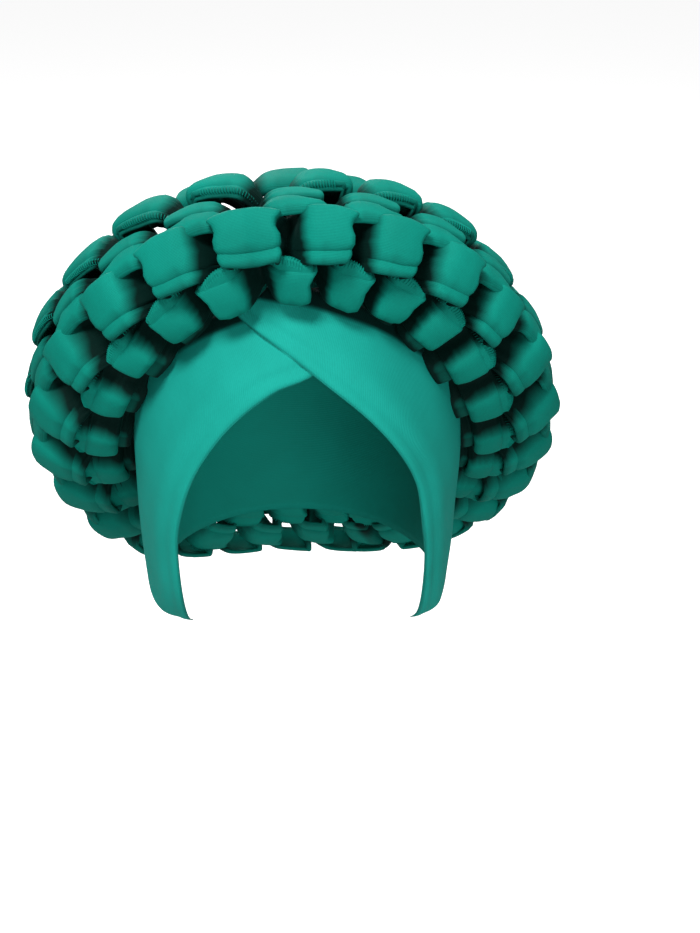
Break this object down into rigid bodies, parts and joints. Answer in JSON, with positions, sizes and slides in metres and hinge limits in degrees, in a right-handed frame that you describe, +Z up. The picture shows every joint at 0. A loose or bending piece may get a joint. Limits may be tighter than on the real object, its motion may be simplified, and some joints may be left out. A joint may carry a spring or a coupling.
{
  "type": "turban hat",
  "caption": "Teal turban cap with two crossed front panels over the forehead and ears and a wide plaited halo round the head.",
  "frame": {"origin": "inside of the crown's top, where the cap sits on the head", "axes": "+X toward the wearer's left, -Y out of the face opening, +Z up"},
  "size_m": [0.284, 0.2385, 0.2882],
  "materials": {
    "knit": "matt smooth air-layer knit"
  },
  "bodies": {
    "root": {"crown_cap": "knit", "front_panel_under": "knit", "front_panel_over": "knit", "braid_row_inner": "knit", "braid_row_front": "knit", "braid_row_upper": "knit", "braid_row_top": "knit", "braid_row_outer": "knit"}
  },
  "joints": []
}
